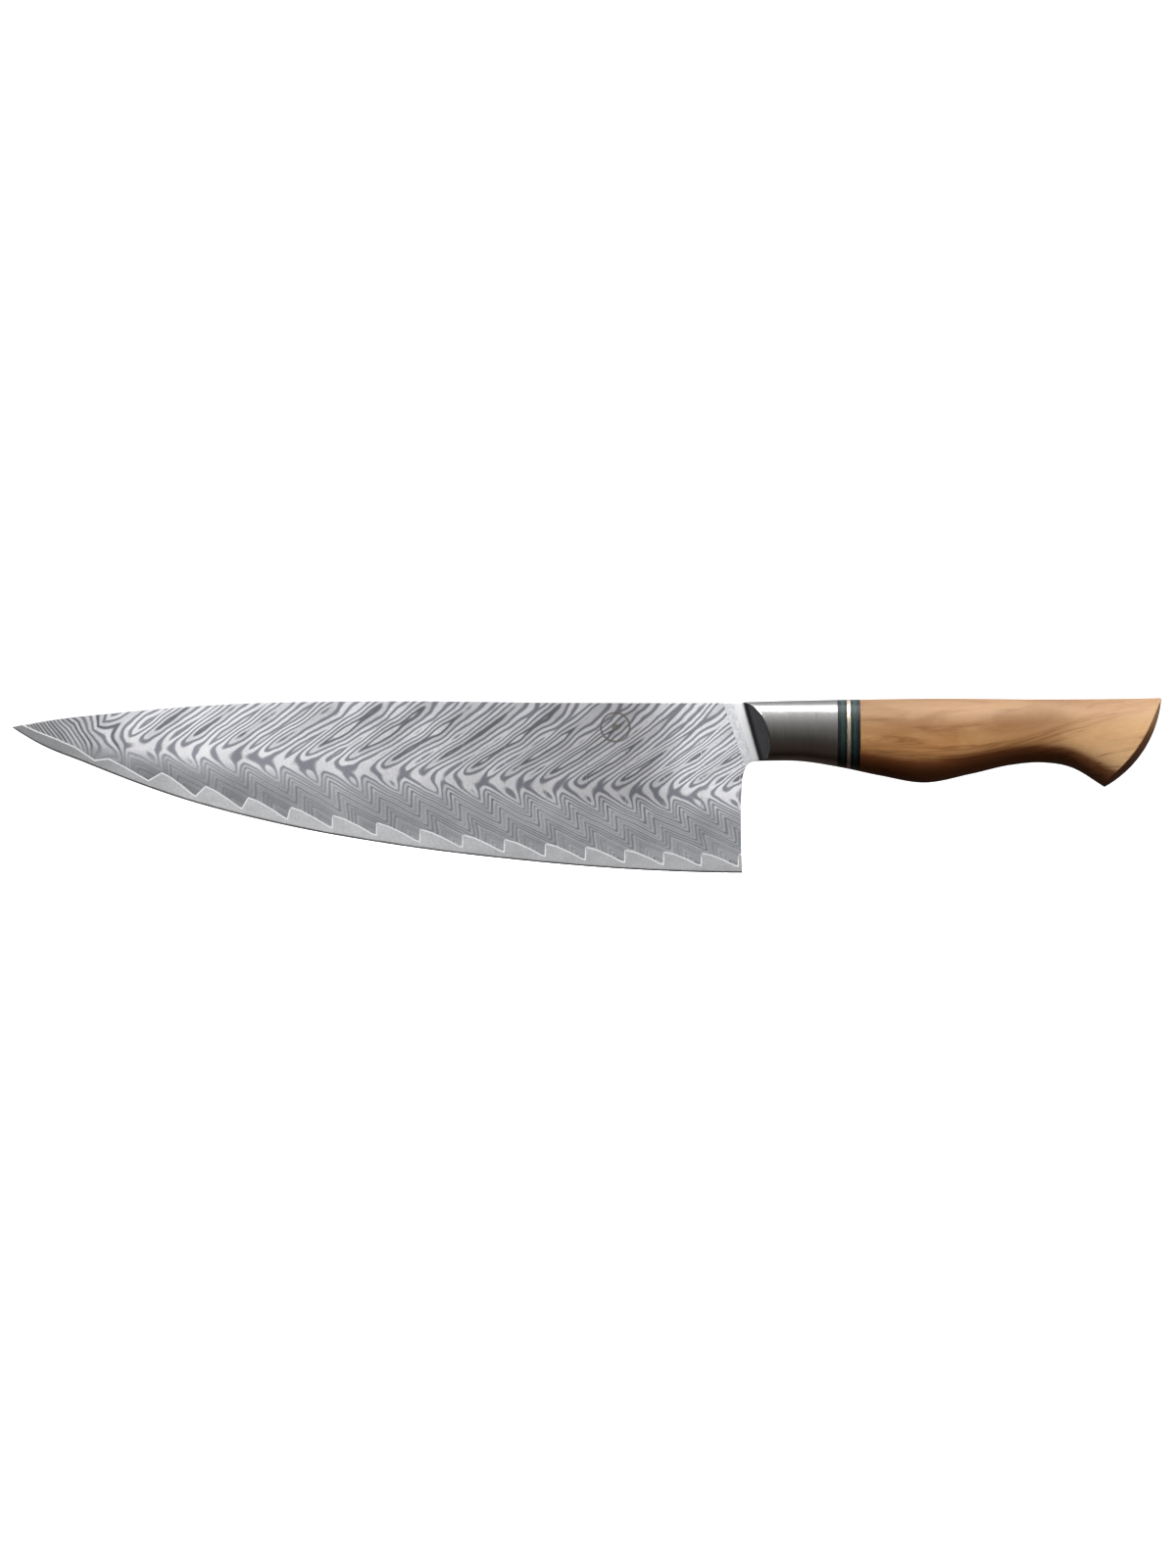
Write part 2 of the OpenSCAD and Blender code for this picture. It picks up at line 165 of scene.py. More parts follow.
# ---------------------------------------------------------------- curves
def curve(knots, x):
    """Smooth curve through knots: cubic Hermite pieces with three-point slopes."""
    k = np.array(knots, float)
    x = np.asarray(x, float)
    gap = np.diff(k[:, 0])
    chord = np.diff(k[:, 1]) / gap
    slope = np.zeros(len(k))
    slope[1:-1] = (chord[:-1] * gap[1:] + chord[1:] * gap[:-1]) / (gap[:-1] + gap[1:])
    slope[0] = 2 * chord[0] - slope[1]
    slope[-1] = 2 * chord[-1] - slope[-2]
    i = np.clip(np.searchsorted(k[:, 0], x, side="right") - 1, 0, len(k) - 2)
    t = (x - k[i, 0]) / gap[i]
    return ((2 * t ** 3 - 3 * t ** 2 + 1) * k[i, 1] + (t ** 3 - 2 * t ** 2 + t) * gap[i] * slope[i]
            + (3 * t ** 2 - 2 * t ** 3) * k[i + 1, 1] + (t ** 3 - t ** 2) * gap[i] * slope[i + 1])


def smooth_min(a, b, radius):
    """The lower of a and b, rounded over where they meet."""
    return 0.5 * (a + b - np.sqrt((a - b) ** 2 + radius ** 2))


def smooth_step(x, low, high):
    """0 up to low, 1 from high, and a smooth rise between them."""
    t = np.clip((x - low) / (high - low), 0, 1)
    return t * t * (3 - 2 * t)


def bezier(points, t):
    """Points of a cubic Bezier curve at shares t."""
    p = np.array(points, float)
    t = np.asarray(t, float)[..., None]
    return ((1 - t) ** 3 * p[0] + 3 * (1 - t) ** 2 * t * p[1]
            + 3 * (1 - t) * t ** 2 * p[2] + t ** 3 * p[3])


# ---------------------------------------------------------------- blade section
def blade_f(s):
    return np.clip(s / BLADE_L, 0, 1)


def edge_z(s):
    return HEEL_H * curve(EDGE, blade_f(s))


def spine_z(s):
    return HEEL_H * curve(SPINE, blade_f(s))


def height(s):
    return spine_z(s) - edge_z(s)


def upper_half(s):
    """Half the thickness of the flat upper zone."""
    flat = (TIP_T + (SPINE_T - TIP_T) * np.clip(s / WELD_TOP, 0, 1)) / 2
    return flat * (1 - (1 - np.clip(s / TIP_FADE, 0, 1)) ** 3)


def ridge_z(s):
    return edge_z(s) + (RIDGE_AT_HEEL + RIDGE_RISE * (1 - blade_f(s)) ** 2) * height(s)


def sharp_half(s):
    return np.minimum(EDGE_T / 2, 0.6 * upper_half(s))


def sharp_z(s):
    return edge_z(s) + np.minimum(SHARP_H, 0.2 * height(s))


def half_at(s, z):
    """Half the blade's thickness, with the ridge of the bevel slightly rounded."""
    run = np.maximum(ridge_z(s) - sharp_z(s), 0.05)
    bevel = sharp_half(s) + (upper_half(s) - sharp_half(s)) * (z - sharp_z(s)) / run
    return smooth_min(bevel, upper_half(s), RIDGE_SOFT)


def core_half(s):
    return CORE_TIP_HALF + (CORE_T / 2 - CORE_TIP_HALF) * blade_f(s)


# ---------------------------------------------------------------- border of the cladding
def tooth_s(i):
    """Station of tooth i, counted from the heel; the teeth get longer towards the tip."""
    return BLADE_L - 1 - (TOOTH_L - 0.1) * i - TOOTH_GROWTH * i ** 2


def above_edge(s, rise):
    return (s, float(edge_z(s)) + rise)


def tooth(i):
    """Valley, top and bulging flank of tooth i."""
    valley = tooth_s(i)
    face = max(TOOTH_FACE, FACE_LEAN * (FACE_LEANS_BELOW - valley))
    top = above_edge(valley + face, TOOTH_H)
    points = [above_edge(valley, VALLEY_H), top]
    if i > 0:
        low = above_edge(tooth_s(i - 1), VALLEY_H)
        for t, rise in TOOTH_BULGE:
            points.append((top[0] + (low[0] - top[0]) * t, top[1] + (low[1] - top[1]) * t + rise))
    return points


def border_points():
    """The border from the tip to the heel: a low wave and one bump, then the teeth."""
    bump = tooth_s(TOOTH_COUNT - 1) - 13.5
    points = [(2.9, float(spine_z(2.9))), (3, float(spine_z(3)) - 0.2), above_edge(4.6, 2.6),
              above_edge(6.5, 2.8), above_edge(9, 3.1), above_edge(11.5, 3.3),
              above_edge((bump + 10.5) / 2, 3), above_edge(bump - 1.5, 1.5),
              above_edge(bump + 2.4, 3.5), above_edge(bump + 7, 2.9)]
    for i in range(TOOTH_COUNT - 1, -1, -1):
        points += tooth(i)
    return np.array(points + [above_edge(BLADE_L, 4.9)])


BORDER = border_points()


def border_z(s):
    return np.minimum(np.interp(s, BORDER[:, 0], BORDER[:, 1]), spine_z(s) - 0.03)


def border_distance(s, z):
    """Distance in millimetres to the border, for points near it."""
    best = np.full(s.shape, 9.0)
    for a, b in zip(BORDER[:-1], BORDER[1:]):
        near = (s > min(a[0], b[0]) - 1.5) & (s < max(a[0], b[0]) + 1.5)
        p = np.stack([s[near], z[near]], -1)
        t = np.clip(((p - a) @ (b - a)) / max((b - a) @ (b - a), 1e-9), 0, 1)
        gap = np.linalg.norm(p - a - t[:, None] * (b - a), axis=1)
        best[near] = np.minimum(best[near], gap)
    return best


# ---------------------------------------------------------------- end of the blade
def choil_curve(steps):
    """The curve from the heel's back up to the bolster's underside, as [s, z] points."""
    a, b = np.array(CHOIL_START), np.array(CHOIL_END)
    return bezier([a, a + (0, CHOIL_UP), b - (CHOIL_FORWARD, 0), b], np.linspace(0, 1, steps))


CHOIL = choil_curve(40)


def heel_back(z):
    """Station of the blade's rear face at height z, up to the weld's leaning line."""
    t = np.clip(z / CHOIL_START[1], 0, 1)
    heel = BLADE_L + (CHOIL_START[0] - BLADE_L) * t - HEEL_BOW * t * (1 - t)
    curved = np.interp(z, CHOIL[:, 1], CHOIL[:, 0])
    return np.minimum(np.where(z < CHOIL_START[1], heel, curved), WELD_TOP + (HEEL_H - z) * LEAN)


def fit_to_heel(s, z, z_anchor):
    """Shifts stations so that the last one follows the blade's rear outline."""
    share = smooth_step(s, BLADE_L - HEEL_BLEND, BLADE_L)
    last = s - BLADE_L + 1
    return (s + share * (heel_back(z) - heel_back(z_anchor))
            + np.where(last > 0, (heel_back(z_anchor) - BLADE_L) * last, 0))


# ---------------------------------------------------------------- grip section
def grip_ring(g, angle):
    """Half width and height of the grip's section at station g and section angle."""
    f = np.maximum(g / GRIP_L, 0)
    e = 2 / curve(GRIP_POWER, f)
    top = HEEL_H + curve(GRIP_RISE, f)
    bottom = HEEL_H - curve(GRIP_DEPTH, f)
    c, s = np.cos(angle), np.sin(angle)
    y = curve(GRIP_HALF_W, f) * np.sign(c) * np.abs(c) ** e * INSIDE_CAD
    z = (top + bottom) / 2 + (top - bottom) / 2 * np.sign(s) * np.abs(s) ** e * INSIDE_CAD
    return y, z


# ---------------------------------------------------------------- meshes
# Edges that bend more than this many degrees stay sharp
SHARP_ANGLE = 35


def new_piece(name, verts, faces, node, material, layers=None):
    """Makes a piece from points in millimetres, and lets it stand for a CAD node."""
    mesh = bpy.data.meshes.new(name)
    points = np.array(verts, float)
    points[:, 0] += TIP_X
    mesh.from_pydata((points * MM).tolist(), [], faces)
    mesh.validate()
    for key, values in (layers or {}).items():
        layer = mesh.attributes.new(key, "FLOAT", "POINT")
        layer.data.foreach_set("value", np.asarray(values, np.float32).ravel())
    mesh.shade_smooth()
    mesh.set_sharp_from_angle(angle=math.radians(SHARP_ANGLE))
    mesh.materials.append(material)
    piece = bpy.data.objects.new(name, mesh)
    bpy.context.scene.collection.objects.link(piece)
    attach(piece, "root")
    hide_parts(node)
    return piece


def ring_faces(rings, count, flip=False):
    """Quads between closed rings of count points each."""
    r, i = np.meshgrid(np.arange(rings - 1), np.arange(count), indexing="ij")
    a = r * count + i
    b = r * count + (i + 1) % count
    quads = np.stack([a, b, b + count, a + count], -1).reshape(-1, 4)
    return (quads[:, ::-1] if flip else quads).tolist()


def blade_stations(start):
    """Stations along the blade, close together beside the steep faces of the teeth."""
    extra = []
    for i in range(TOOTH_COUNT):
        top = tooth(i)[1][0]
        extra += [tooth_s(i) - 0.36, tooth_s(i) - 0.18, tooth_s(i), top, top + 0.15]
    knots = np.unique(np.round([s for s in list(BORDER[:, 0]) + extra + [start] if s >= start], 4))
    stations = []
    for a, b in zip(knots[:-1], knots[1:]):
        steps = max(1, math.ceil((b - a) / 0.42))
        stations += list(a + (b - a) * np.arange(steps) / steps)
    return np.array(stations + [knots[-1]])


# ---------------------------------------------------------------- damascus pattern
def lattice_noise(s, z, size, seed):
    """Smooth random values between -0.5 and 0.5 on a lattice of cells of one size."""
    table = np.random.RandomState(seed).rand(64, 64)
    u, v = s / size + 17.3, z / size + 9.1
    i, j = np.floor(u).astype(int), np.floor(v).astype(int)
    a, b = u - i, v - j
    a, b = a * a * (3 - 2 * a), b * b * (3 - 2 * b)
    near = table[i % 64, j % 64] * (1 - a) + table[(i + 1) % 64, j % 64] * a
    far = table[i % 64, (j + 1) % 64] * (1 - a) + table[(i + 1) % 64, (j + 1) % 64] * a
    return near * (1 - b) + far * b - 0.5


NODE_DROP = 1.2       # the row of nodes lies this far below the ridge, in mm
SLOPE = 0.85          # forged layers cut per mm of height on the bevel
FLAT_FROM = 2.3       # the cut gets level with the layers this far below the nodes
SWING_LOW = 3.9       # height of the saw-tooth wave in layers, on the bevel
SWING_HIGH = 3.3      # and on the flat upper zone
SWING_NODE = 0.3      # share of the wave that is left in the row of nodes
NODE_TURN = 2.5       # the rows turn at the nodes over this height, in mm
HIGH_LEAN = 1.55      # lean of the loops above the nodes, in mm along the blade per mm of height
STEEP_FROM = 8        # the loops get steeper from this height above the nodes, in mm
STEEP_RATE = 0.55 / 32  # and by this much per square mm
FOOT_SHIFT = 3.3      # places the wave's foot over the teeth, in mm along the blade
CREST_LOW = 0.63      # place of the wave's crest within a tooth, on the bevel
CREST_HIGH = 0.40     # and on the flat upper zone
TIP_LAYERS = 24       # extra layers that the narrowing tip cuts through
TIP_RUN = 38          # length of the blade over which it does so, in mm


def tooth_phase(s):
    """Place within a tooth, 0 at each valley, for stations along the border."""
    q = WELD_TOP + 4.5 - s
    lead = TOOTH_L - 0.1
    count = (np.sqrt(np.maximum(lead ** 2 + 4 * TOOTH_GROWTH * q, 1)) - lead) / (2 * TOOTH_GROWTH)
    count = np.where(q < 0, q / lead, count)
    return -count - np.floor(-count)


def layer_field(s, z):
    """Number of the forged layer that comes to the surface at a point.

    The grinding cuts through a stack of layers that a row of pressed grooves has bent. Depth gives
    the layer, and the grooves add a leaning saw-tooth wave whose foot lines up with the border.
    """
    node_z = ridge_z(s) - NODE_DROP
    v = z - node_z
    depth = SLOPE * smooth_min(v + FLAT_FROM, 0 * v, 2)
    away = np.sqrt(v * v + NODE_TURN ** 2) - NODE_TURN
    steep = np.maximum(v - STEEP_FROM, 0)
    foot = s + node_z - edge_z(s) - FOOT_SHIFT
    foot = np.where(v > 0, foot - HIGH_LEAN * away + STEEP_RATE * steep ** 2, foot - away)
    phase = tooth_phase(foot)
    crest = CREST_LOW + (CREST_HIGH - CREST_LOW) * smooth_step(v, -NODE_TURN, NODE_TURN)
    blunt = 0.12 + 0.16 * np.exp(-(v / 3) ** 2)
    wave = smooth_min(phase / crest, (1 - phase) / (1 - crest), blunt)
    swing = np.where(v < 0, SWING_LOW, SWING_HIGH)
    node = np.exp(-(v / np.where(v < 0, 2.3, 3)) ** 2)
    swing = swing + (SWING_NODE * SWING_HIGH - swing) * node
    swing = swing * (1 - 0.35 * np.clip((v - 9) / 12, 0, 1) ** 2)
    swing = swing * smooth_step(s, 8, TIP_RUN + 4)
    wander = 0.9 * lattice_noise(s, z, 14, 3) + 0.7 * lattice_noise(s, z, 5.5, 5)
    wander = wander + 0.2 * lattice_noise(s, z, 2, 8)
    tip = TIP_LAYERS * np.clip(1 - (s + 0.9 * v) / TIP_RUN, 0, 1) ** 2
    return depth + swing * (wave - 0.45) + wander + tip


# Plain ring with a dot: its centre, its radius, and half the width of its line
MARK_S = BLADE_L - 35.4
MARK_Z = HEEL_H - 7
MARK_R = 4
MARK_LINE = 0.25
MARK_DOT = 0.9


def zone_layers(s, z):
    """Vertex layers that the blade's materials read."""
    return {
        "forge_layer": layer_field(s, z),
        "border_gap": border_distance(s, z),
        "above_ridge": z - ridge_z(s),
        "station": s,
        "spine_gap": spine_z(s) - z,
        "edge_gap": z - edge_z(s),
        "mark_radius": np.hypot(s - MARK_S, z - MARK_Z),
    }


# ---------------------------------------------------------------- blade pieces
CLAD_ROWS = 144
BACK_ROWS = 36
EASE_STEPS = 4


def cladding(side, name, material):
    """One cladding layer: patterned face, eased spine corner and the hidden face on the core."""
    station = blade_stations(CLAD_START)
    low = border_z(station)
    top = spine_z(station)
    half = upper_half(station)
    ease = np.minimum(SPINE_EASE, 0.3 * half)
    inner = np.minimum(core_half(station), half_at(station, low) * UNDER_SKIN)
    t = np.linspace(0, 1, CLAD_ROWS + 1)
    s_nom = station[:, None] + 0 * t
    z_face = low[:, None] + (top - ease - low)[:, None] * t
    y_face = half_at(s_nom, z_face)
    a = np.linspace(0, math.pi / 2, EASE_STEPS + 1)[1:]
    z_ease = (top - ease)[:, None] + ease[:, None] * np.sin(a)
    y_ease = (half - ease)[:, None] + ease[:, None] * np.cos(a)
    b = np.linspace(1, 0, BACK_ROWS + 1)
    z_back = low[:, None] + (top - low)[:, None] * b
    y_back = inner[:, None] + 0 * b
    z = np.concatenate([z_face, z_ease, z_back], 1)
    y = np.concatenate([y_face, y_ease, y_back], 1)
    s = fit_to_heel(station[:, None] + 0 * z, z, low[:, None])
    y = np.minimum(y, np.maximum(half_at(s, z), inner[:, None]) + 0 * y)
    count = z.shape[1]
    verts = np.stack([s, side * y, z], -1).reshape(-1, 3)
    faces = ring_faces(len(station), count, flip=side > 0)
    for ring, turn in ((0, side < 0), (len(station) - 1, side > 0)):
        faces += strip_cap(ring * count, count, turn)
    layers = zone_layers(verts[:, 0], verts[:, 2])
    if side > 0:
        # the right side carries no mark
        layers["mark_radius"] += 10 * MARK_R
    return new_piece(name, verts, faces, name, material, layers)


def strip_cap(first, count, turn):
    """Faces across the end of a cladding ring, from its face to its back."""
    faces = []
    step = CLAD_ROWS // BACK_ROWS
    for m in range(BACK_ROWS):
        outer = [first + m * step + j for j in range(step + 1)]
        if m == BACK_ROWS - 1:
            outer += [first + CLAD_ROWS + 1 + j for j in range(EASE_STEPS)]
        inner = [first + count - 1 - m, first + count - 2 - m]
        ring = outer + inner[::-1]
        faces.append(ring[::-1] if turn else ring)
    return faces


CORE_ROWS = 14
SLAB_ROWS = 6


def core(material):
    """The hard core: bare along the edge, a thin slab between the claddings above."""
    near_tip = [0.35, 0.7, 1.1, 1.5, 2.0, 2.5]
    station = np.concatenate([near_tip, blade_stations(CLAD_START)])
    low = edge_z(station)
    sharp = sharp_z(station)
    bare = station < CLAD_START
    border = np.where(bare, spine_z(station) - 0.02, border_z(station))
    top = spine_z(station)
    t = np.linspace(0, 1, CORE_ROWS + 1)
    z_face = sharp[:, None] + (border - sharp)[:, None] * t
    y_face = half_at(station[:, None] + 0 * t, z_face)
    b = np.linspace(0, 1, SLAB_ROWS + 1)
    z_slab = border[:, None] + (top - border)[:, None] * b
    slab_half = np.minimum(core_half(station), half_at(station, border) * UNDER_SKIN)
    y_slab = slab_half[:, None] + 0 * b
    z_side = np.concatenate([z_face, z_slab], 1)
    y_side = np.concatenate([y_face, y_slab], 1)
    z = np.concatenate([low[:, None], z_side, z_side[:, ::-1]], 1)
    y = np.concatenate([0 * low[:, None], -y_side, y_side[:, ::-1]], 1)
    s = fit_to_heel(station[:, None] + 0 * z, z, border[:, None])
    count = z.shape[1]
    rings = len(station)
    verts = np.concatenate([np.stack([s, y, z], -1).reshape(-1, 3), [[0, 0, float(edge_z(0.0))]]])
    faces = ring_faces(rings, count)
    tip = len(verts) - 1
    faces += [[tip, (i + 1) % count, i] for i in range(count)]
    last = (rings - 1) * count
    faces.append([last, last + 1, last + count - 1])
    for i in range(1, count // 2):
        faces.append([last + i, last + i + 1, last + count - i - 1, last + count - i])
    layers = zone_layers(verts[:, 0], verts[:, 2])
    return new_piece("blade_core", verts, faces, "blade_core", material, layers)


def weld(material):
    """The narrow band of filler metal, ground flush with blade and bolster."""
    half = SPINE_T / 2
    across = np.linspace(0, 1, 13)
    up = np.linspace(0, 1, 60)
    lowest = [choil_z_at(u) for u in across]
    z = np.array(lowest)[:, None] + (HEEL_H - np.array(lowest))[:, None] * up
    s = WELD_TOP + (FOOT_TOP - WELD_TOP) * across[:, None] + (HEEL_H - z) * LEAN
    y = np.full(z.shape, half)
    near_top = np.clip((z - HEEL_H + SPINE_EASE) / SPINE_EASE, 0, 1)
    y -= SPINE_EASE * (1 - np.sqrt(1 - near_top ** 2))
    n, m = z.shape
    left = np.stack([s, -y, z], -1).reshape(-1, 3)
    right = np.stack([s, y, z], -1).reshape(-1, 3)
    verts = np.concatenate([left, right])
    faces = []
    for i in range(n - 1):
        for j in range(m - 1):
            a = i * m + j
            faces.append([a, a + m, a + m + 1, a + 1])
            c = n * m + a
            faces.append([c, c + 1, c + m + 1, c + m])
    rim = [i * m for i in range(n)] + [(n - 1) * m + j for j in range(1, m)]
    rim += [i * m + m - 1 for i in range(n - 2, -1, -1)] + [j for j in range(m - 2, 0, -1)]
    for a, b in zip(rim, rim[1:] + rim[:1]):
        faces.append([b, a, a + n * m, b + n * m])
    return new_piece("weld_seam", verts, faces, "weld_seam", material)


def choil_z_at(u):
    """Height at which the leaning line at share u of the weld meets the choil's curve."""
    lean_at = WELD_TOP + (FOOT_TOP - WELD_TOP) * u + (HEEL_H - CHOIL[:, 1]) * LEAN
    side = CHOIL[:, 0] - lean_at
    i = int(np.argmax(side > 0))
    if side[i] <= 0:
        return float(CHOIL[-1, 1])
    t = side[i] / (side[i] - side[i - 1])
    return float(CHOIL[i, 1] + (CHOIL[i - 1, 1] - CHOIL[i, 1]) * t)


# ---------------------------------------------------------------- bolster
SECTION = 128
# Height of the fillet between foot and scoop at its corner, as a share of its radius
SCOOP_SOFTNESS = 0.15
# Rounding of the scoop's rear rim, in mm
RIM_SOFT = 0.25


def scoop_half(s, z):
    """Half the bolster's thickness that the scooped front allows."""
    behind_foot = s - SCOOP_TOP - (HEEL_H - z) * math.tan(SCOOP_LEAN)
    foot = SPINE_T / 2
    slope = foot + (behind_foot * math.cos(SCOOP_LEAN) - SCOOP_CORNER) / math.tan(SCOOP_ANGLE)
    soft = SCOOP_R * SCOOP_SOFTNESS
    return 0.5 * (foot + slope + np.sqrt((slope - foot) ** 2 + 4 * soft ** 2))


def bolster(material):
    """Loft of the grip's sections whose front is pressed in to the scoop."""
    angle = (np.arange(SECTION) + 0.5) * 2 * math.pi / SECTION
    u = np.concatenate([np.linspace(0, 0.5, 60), np.linspace(0.5, 1, 24)[1:]])
    uu, aa = np.meshgrid(u, angle, indexing="ij")
    end = BLADE_L + BOLSTER_END
    z = np.full(uu.shape, HEEL_H - 8.0)
    # the front leans, so station and height are found together, step by step
    for _ in range(12):
        front = FOOT_TOP + (HEEL_H - z) * LEAN
        s = front + uu * (end - front)
        y, z = grip_ring(s - BLADE_L, aa)
    limit = scoop_half(s, z)
    y = np.sign(y) * smooth_min(np.abs(y), limit, RIM_SOFT)
    verts = np.stack([s, y, z], -1).reshape(-1, 3)
    foot = 1 - smooth_step(limit, SPINE_T / 2 + 0.06, SPINE_T / 2 + 0.14).ravel()
    skin, _ = grip_ring(s - BLADE_L, aa)
    # mask of the scoop's face, which the material paints dark as a painted reflection
    scooped = (1 - foot) * smooth_step(np.abs(skin) - limit, 0.0, RIM_SOFT).ravel()
    rings = len(u)
    faces = ring_faces(rings, SECTION)
    half = SECTION // 2
    last = (rings - 1) * SECTION
    quarter = SECTION // 4
    for first, turn in ((0, False), (last, True)):
        for i in range(half - 1):
            # pairs of points that mirror each other across the blade's mid-plane
            a = (quarter + i) % SECTION
            b = (quarter + i + 1) % SECTION
            c = (quarter - 2 - i) % SECTION
            d = (quarter - 1 - i) % SECTION
            quad = [first + a, first + b, first + c, first + d]
            faces.append(quad[::-1] if turn else quad)
    return new_piece("bolster", verts, faces, "bolster", material,
                     {"foot": foot, "scooped": scooped})


# ---------------------------------------------------------------- spacers and handle
def slot_ring(count):
    """Round-ended slot of the bore, as [y, z] points in step with a section ring."""
    r = BORE_W / 2
    straight = BORE_H - BORE_W
    angle = (np.arange(count) + 0.5) * 2 * math.pi / count
    y = r * np.cos(angle)
    z = r * np.sin(angle) + np.sign(np.sin(angle)) * straight / 2 + TANG_Z
    return y, z


def spacer(name, material):
    """A thin slice of the grip with the tang's slot through it."""
    box = node_box(name)
    from_g, to_g = box[0][0] - TIP_X - BLADE_L, box[1][0] - TIP_X - BLADE_L
    angle = (np.arange(SECTION) + 0.5) * 2 * math.pi / SECTION
    slot_y, slot_z = slot_ring(SECTION)
    loops = []
    for g in np.linspace(from_g, to_g, 4):
        y, z = grip_ring(np.full(SECTION, g), angle)
        loops.append(np.stack([np.full(SECTION, BLADE_L + g), y, z], -1))
    for g in (to_g, from_g):
        loops.append(np.stack([np.full(SECTION, BLADE_L + g), slot_y, slot_z], -1))
    verts = np.concatenate(loops)
    faces = ring_faces(len(loops), SECTION)
    last = (len(loops) - 1) * SECTION
    for i in range(SECTION):
        j = (i + 1) % SECTION
        faces.append([last + i, last + j, j, i])
    return new_piece(name, verts, faces, name, material)


def butt_frame():
    """Centre, outward normal, chord direction and half chord of the butt in side view."""
    top, beak = np.array(BUTT_TOP), np.array(BUTT_BEAK)
    chord = top - beak
    along = chord / np.linalg.norm(chord)
    out = np.array([along[1], -along[0]])
    return (top + beak) / 2, out, along, float(np.linalg.norm(chord)) / 2


def butt_depth(y, w):
    """How far the domed butt stands out at width y and distance w along its chord."""
    half = butt_frame()[3]
    rise = BUTT_R - math.sqrt(BUTT_R ** 2 - half ** 2)
    ring = rise - BUTT_R + np.sqrt(np.maximum(BUTT_R ** 2 - w ** 2, 1))
    radius = ring - rise + DOME_R
    return rise - DOME_R + np.sqrt(np.maximum(radius ** 2 - y ** 2, 0))


def outside_butt(s, y, z):
    """Positive where a point is beyond the butt's surface."""
    centre, out, along, _ = butt_frame()
    d = np.stack([s - centre[0], z - centre[1]], -1)
    return d @ out - butt_depth(y, d @ along)


def handle(material):
    """The wooden grip: lofted walls, domed butt, and the bore for the tang."""
    count = 160
    angle = (np.arange(count) + 0.5) * 2 * math.pi / count
    # halving finds the station at which each line along the grip meets the butt
    low = np.full(count, 0.75 * GRIP_L)
    high = np.full(count, 1.035 * GRIP_L)
    for _ in range(40):
        mid = (low + high) / 2
        y, z = grip_ring(mid, angle)
        beyond = outside_butt(BLADE_L + mid, y, z) > 0
        high = np.where(beyond, mid, high)
        low = np.where(beyond, low, mid)
    rim_g = low
    share = np.linspace(0, 1, 170) ** 0.9
    slot_y, slot_z = slot_ring(count)
    bore_s = BLADE_L + np.linspace(BORE_END, HANDLE_START, 8)
    # the bore's end wall starts at a narrow loop in its middle
    narrow_z = TANG_Z + (slot_z - TANG_Z) * 0.6
    loops = [np.stack([np.full(count, bore_s[0]), slot_y * 0.02, narrow_z], -1)]
    for s in bore_s:
        loops.append(np.stack([np.full(count, s), slot_y, slot_z], -1))
    for k in share:
        g = HANDLE_START + (rim_g - HANDLE_START) * k
        y, z = grip_ring(g, angle)
        loops.append(np.stack([BLADE_L + g, y, z], -1))
    centre, out, along, _ = butt_frame()
    rim = loops[-1]
    w_rim = (rim[:, [0, 2]] - centre) @ along
    w_mid = (w_rim.max() + w_rim.min()) / 2
    # rings over the butt, the last one nearly a point
    for k in np.linspace(1, 0, 26)[1:]:
        k = max(k, 0.01)
        y = rim[:, 1] * k
        w = w_mid + (w_rim - w_mid) * k
        at = centre + butt_depth(y, w)[:, None] * out + w[:, None] * along
        loops.append(np.stack([at[:, 0], y, at[:, 1]], -1))
    verts = np.concatenate(loops)
    faces = ring_faces(len(loops), count)
    last = (len(loops) - 1) * count
    faces.append(list(range(count))[::-1])
    faces.append(list(range(last, last + count)))
    piece = new_piece("handle", verts, faces, "handle", material)
    bevel = piece.modifiers.new("rim", "BEVEL")
    bevel.width = 0.22 * MM
    bevel.segments = 3
    bevel.limit_method = "ANGLE"
    bevel.angle_limit = math.radians(38)
    bevel.harden_normals = False
    return piece


